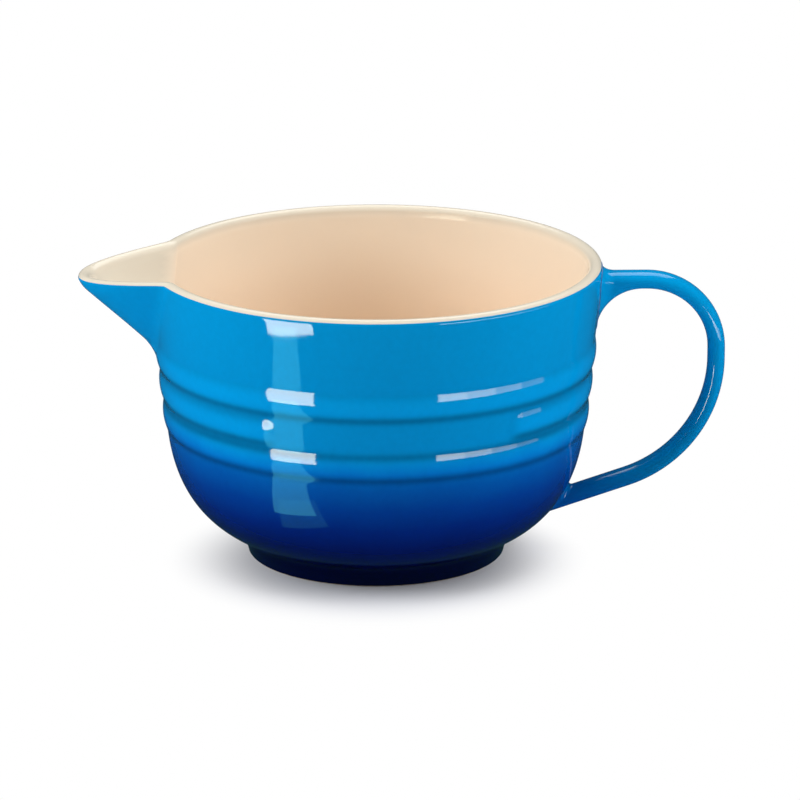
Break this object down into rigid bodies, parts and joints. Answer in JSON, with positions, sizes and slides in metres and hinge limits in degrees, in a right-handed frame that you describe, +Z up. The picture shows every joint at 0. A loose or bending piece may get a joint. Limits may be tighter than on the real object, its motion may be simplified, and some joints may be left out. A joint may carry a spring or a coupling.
{
  "type": "batter bowl",
  "caption": "Stoneware batter bowl with a wide pulled pouring lip, raised outer bands, a luted-on loop strap handle and a turned foot ring.",
  "frame": {"origin": "centre of the foot ring, on the plane the bowl stands on", "axes": "+Z up through the middle of the bowl, the pouring lip along -X, the handle along +X, the broken middle band facing -Y"},
  "size_m": [0.2558, 0.18, 0.119],
  "materials": {
    "stoneware": "matte",
    "luting_slip": "matte",
    "cream_glaze": "gloss",
    "blue_glaze": "gloss"
  },
  "bodies": {
    "root": {"bowl_body": "stoneware", "handle": "stoneware", "upper_slip_joint": "luting_slip", "lower_slip_joint": "luting_slip", "inner_glaze": "cream_glaze", "outer_glaze": "blue_glaze", "handle_glaze": "blue_glaze", "base_glaze": "cream_glaze"}
  },
  "joints": []
}
